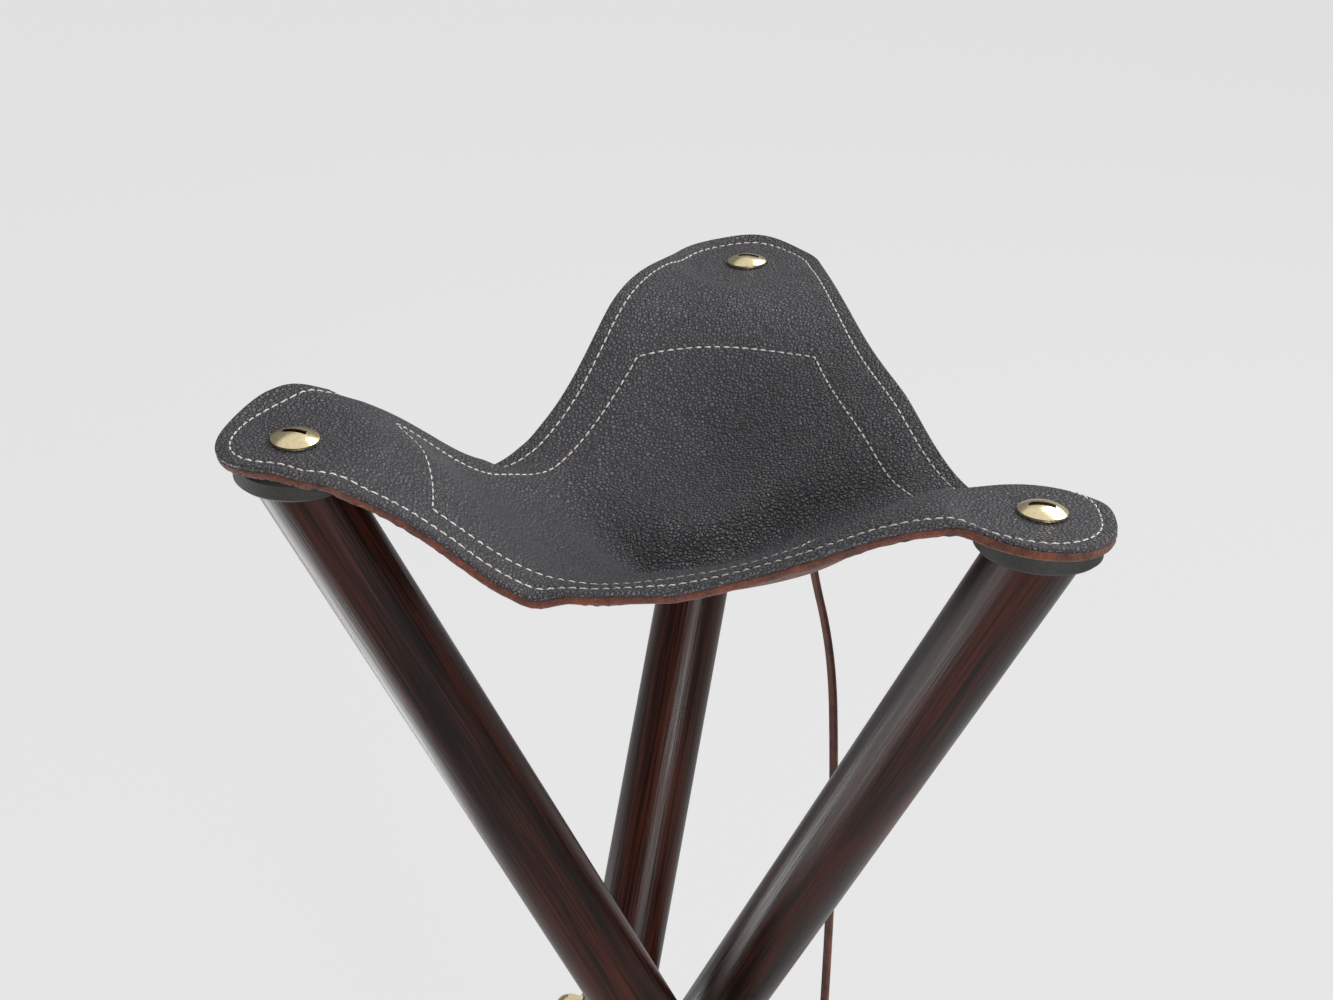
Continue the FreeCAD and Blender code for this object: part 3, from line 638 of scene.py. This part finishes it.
def makeShell(name, layer, corner, azimuth, mirror, label):
    xy, way, depths, tilts, inside = shellRows(layer, corner, azimuth, mirror)
    shape = layer["shape"]
    normal = surfaceNormal(shape, xy)
    top = np.concatenate([xy, shape(xy)[..., None]], -1)
    points = top - normal * depths[:, None, None]
    flatWay = np.broadcast_to(np.concatenate([way, np.zeros((len(way), 1))], -1), points.shape)
    out = flatWay - normal * np.sum(flatWay * normal, -1, keepdims=True)
    out /= np.linalg.norm(out, axis=-1, keepdims=True)
    if "fray" in layer:  # sines of unlike lengths along and down the cut edge, still at both ends
        column, row = np.arange(len(way)), np.arange(len(layer["edge"]))[:, None]
        wave = sum(np.sin(across * column + down * row) for across, down in frayWaves)
        wave = wave * np.sin(np.pi * column / column[-1])
        edge = slice(inside, inside + len(row))
        points[edge] += out[edge] * (layer["fray"] * wave)[..., None]
    shade = normal * np.cos(tilts)[:, None, None] + out * np.sin(tilts)[:, None, None]
    rows, columns = xy.shape[:2]
    middle = np.zeros((1, 2))
    pole = surfaceNormal(shape, middle)[0]
    poleTop = np.array([0, 0, shape(middle)[0]])
    polePoints = [poleTop - pole * layer["top"], poleTop - pole * layer["bottom"]]
    allPoints = np.concatenate([points.reshape(-1, 3), polePoints])
    allNormals = np.concatenate([shade.reshape(-1, 3), [pole, -pole]])
    numbers = np.arange(rows * columns).reshape(rows, columns)
    poles = rows * columns, rows * columns + 1
    faces = gridQuads(numbers).tolist()
    faces += [[a, b, poles[0]] for a, b in zip(numbers[0, 1:].tolist(), numbers[0, :-1].tolist())]
    faces += [[a, b, poles[1]] for a, b in zip(numbers[-1, :-1].tolist(), numbers[-1, 1:].tolist())]
    for column, turn in ((0, 1), (-1, -1)):  # walls on the two cut lines
        line = np.concatenate([[poles[0]], numbers[:, column], [poles[1]]])
        upper, lower = line[:inside + 1], line[::-1][:inside + 1]
        wall = np.stack([upper[:-1], upper[1:], lower[1:], lower[:-1]], -1).tolist()
        wall.append(line[inside:len(line) - inside].tolist())
        faces += [face[::turn] for face in wall]
    if mirror > 0:
        faces = [face[::-1] for face in faces]
    piece = newPiece(name + label, toModel(allPoints), faces, layer["material"], allNormals)
    upper = points[:inside]
    cells = np.cross(upper[1:, :-1] - upper[:-1, :-1], upper[:-1, 1:] - upper[:-1, :-1])
    area = float(np.linalg.norm(cells, axis=-1).sum()) / 1e6
    foldWithLeg(piece)
    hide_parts(layer["node"])
    return area


for layerName, layer in layers.items():
    cut = sum(makeShell(layerName, layer, *half) for half in halfCorners())
    print(layerName, "leather", round(cut * 1e4), "square cm")


# Stitches: short capsules along a closed line, each sunk at its ends where the thread goes into the leather.
# A ring round the stitch is a flat ellipse, scaled down towards both ends.
def stitchGrids(loop, depth, facing):
    height = topHeight if facing > 0 else panelHeight
    closed = np.concatenate([loop, loop[:1]])
    run = np.concatenate([closed, height(closed)[:, None]], -1)
    length = np.concatenate([[0], np.cumsum(np.linalg.norm(np.diff(run, axis=0), axis=1))])
    count = round(length[-1] / stitch["pitch"])
    along, scale = np.array(stitch["rings"]).T
    at = (np.arange(count)[:, None] * length[-1] / count + along[None] * stitch["length"] / 2) % length[-1]
    xy = np.stack([np.interp(at, length, closed[:, axis]) for axis in (0, 1)], -1)
    normal = surfaceNormal(height, xy)
    line = np.concatenate([xy, height(xy)[..., None]], -1) - normal * depth
    normal = normal * facing
    line = line + normal * (stitch["proud"] - stitch["sink"] * along ** 2)[None, :, None]
    ahead = line[:, -1:] - line[:, :1]
    side = np.cross(ahead, normal)
    side /= np.linalg.norm(side, axis=-1, keepdims=True)
    angle = np.linspace(0, 2 * np.pi, stitch["sides"], endpoint=False)
    ring = side[:, :, None] * np.cos(angle)[:, None] * stitch["width"] / 2
    ring = ring + normal[:, :, None] * np.sin(angle)[:, None] * stitch["height"] / 2
    return line[:, :, None] + ring * scale[None, :, None, None]


def makeStitches():
    above = [(line, 0.0, 1) for line in sewnLines]
    below = [(line, layers[name]["bottom"], -1) for line, name in zip(sewnLines, ("seatBase", "underPanel"))]
    for name, lines, material in (("stitches", above, topThread), ("bobbinStitches", below, bobbinThread)):
        sewPieces(name, np.concatenate([stitchGrids(*line) for line in lines]), material)


def sewPieces(name, grids, material):
    rings, sides = grids.shape[1:3]
    azimuth = np.degrees(np.arctan2(*grids.mean((1, 2))[:, 1::-1].T))
    one = np.arange(rings * sides).reshape(rings, sides)
    pattern = gridQuads(np.column_stack([one, one[:, :1]]))[:, ::-1]
    caps = np.stack([one[0], one[-1][::-1]])
    for corner, middle, mirror, label in halfCorners():
        off = ((azimuth - middle + 180) % 360 - 180) * mirror
        mine = grids[(off >= 0) & (off < 60)]
        start = (np.arange(len(mine)) * rings * sides)[:, None, None]
        faces = (pattern + start).reshape(-1, 4).tolist() + (caps + start).reshape(-1, sides).tolist()
        piece = newPiece(name + label, toModel(mine.reshape(-1, 3)), faces, material)
        foldWithLeg(piece)
    print(len(grids), name)


makeStitches()

# CAD pieces that keep their shape
for corner in corners:
    screw = toModel([*heading(corners[corner]) * sling["screwRadius"], 0])
    finishes = {"leg_": stainedWalnut(corner), "top_pad_": padRubber,
                "seat_screw_": polishedBrass("screw_" + corner, screw),
                "inner_washer_": brassMetal, "outer_washer_": brassMetal, "dome_nut_": brassMetal}
    for prefix, finish in finishes.items():
        nodes[prefix + corner].data.materials.clear()
        nodes[prefix + corner].data.materials.append(finish)
for name in ("tri_bolt", "lace_rivet"):
    nodes[name].data.materials.clear()
    nodes[name].data.materials.append(brassMetal)


# Floor, world and lamps: a pale floor that camera and glossy rays see at its own tone, under soft boxes
studio = {"pale": "#e6e6e6", "fill": 0.26, "flatShare": 0.92, "reach": 12.0, "cells": 8, "drop": 0.0005,
          # name, place, target, width, height, watts
          "lamps": [("overhead", (0.1, 0.15, 2.5), (0.0, 0.0, 0.6), 3.6, 3.0, 24.0),
                    ("backRight", (1.0, 1.3, 2.0), (0.0, 0.0, 0.6), 1.3, 1.3, 30.0),
                    ("lowLeft", (-0.58, -0.05, 0.04), (-0.45, -0.05, 0.6), 0.65, 0.8, 9.0),
                    ("frontRight", (0.85, -1.35, 1.0), (0.0, 0.0, 0.5), 0.35, 0.6, 22.0)]}


def seenDirectly(tree):  # camera, glossy or transmission ray
    path = addNode(tree, "ShaderNodeLightPath").outputs
    either = addNode(tree, "ShaderNodeMath", {0: path["Is Camera Ray"], 1: path["Is Glossy Ray"]},
                     operation="ADD").outputs[0]
    return addNode(tree, "ShaderNodeMath", {0: either, 1: path["Is Transmission Ray"]}, operation="ADD",
                   use_clamp=True).outputs[0]


def makeStudio():
    pale = srgb(studio["pale"])
    world = bpy.data.worlds.new("studioWorld")
    bpy.context.scene.world = world
    world.use_nodes = True
    tree = world.node_tree
    tree.nodes.clear()
    fill = addNode(tree, "ShaderNodeBackground", {"Color": (1, 1, 1, 1),
                   "Strength": studio["fill"]}).outputs[0]
    addNode(tree, "ShaderNodeOutputWorld", {"Surface": fill})
    material, tree, shader = newMaterial("paleFloor")
    shader.inputs["Base Color"].default_value = pale
    shader.inputs["Roughness"].default_value = 0.9
    glow = addNode(tree, "ShaderNodeEmission", {"Color": pale, "Strength": 1.0}).outputs[0]
    share = addNode(tree, "ShaderNodeMath", {0: seenDirectly(tree), 1: studio["flatShare"]},
                    operation="MULTIPLY").outputs[0]
    mixed = addNode(tree, "ShaderNodeMixShader", {0: share, 1: shader.outputs[0], 2: glow}).outputs[0]
    tree.links.new(mixed, tree.nodes["Material Output"].inputs["Surface"])
    side = np.linspace(-studio["reach"], studio["reach"], studio["cells"] + 1)
    x, y = np.meshgrid(side, side)
    points = np.stack([x, y, np.full_like(x, -studio["drop"])], -1).reshape(-1, 3)
    floor = newPiece("floor", points, gridQuads(np.arange(x.size).reshape(x.shape)).tolist(), material)
    for name, place, target, width, height, power in studio["lamps"]:
        light = bpy.data.lights.new(name, "AREA")
        light.shape = "RECTANGLE"
        light.size, light.size_y = width, height
        light.energy = power
        lamp = bpy.data.objects.new(name, light)
        away = Vector(place) - Vector(target)
        lamp.matrix_world = Matrix.Translation(place) @ away.to_track_quat("Z", "Y").to_matrix().to_4x4()
        lamp.visible_camera = False
        bpy.context.scene.collection.objects.link(lamp)
    bpy.context.scene.view_settings.view_transform = "Standard"


makeStudio()
print("studio made")
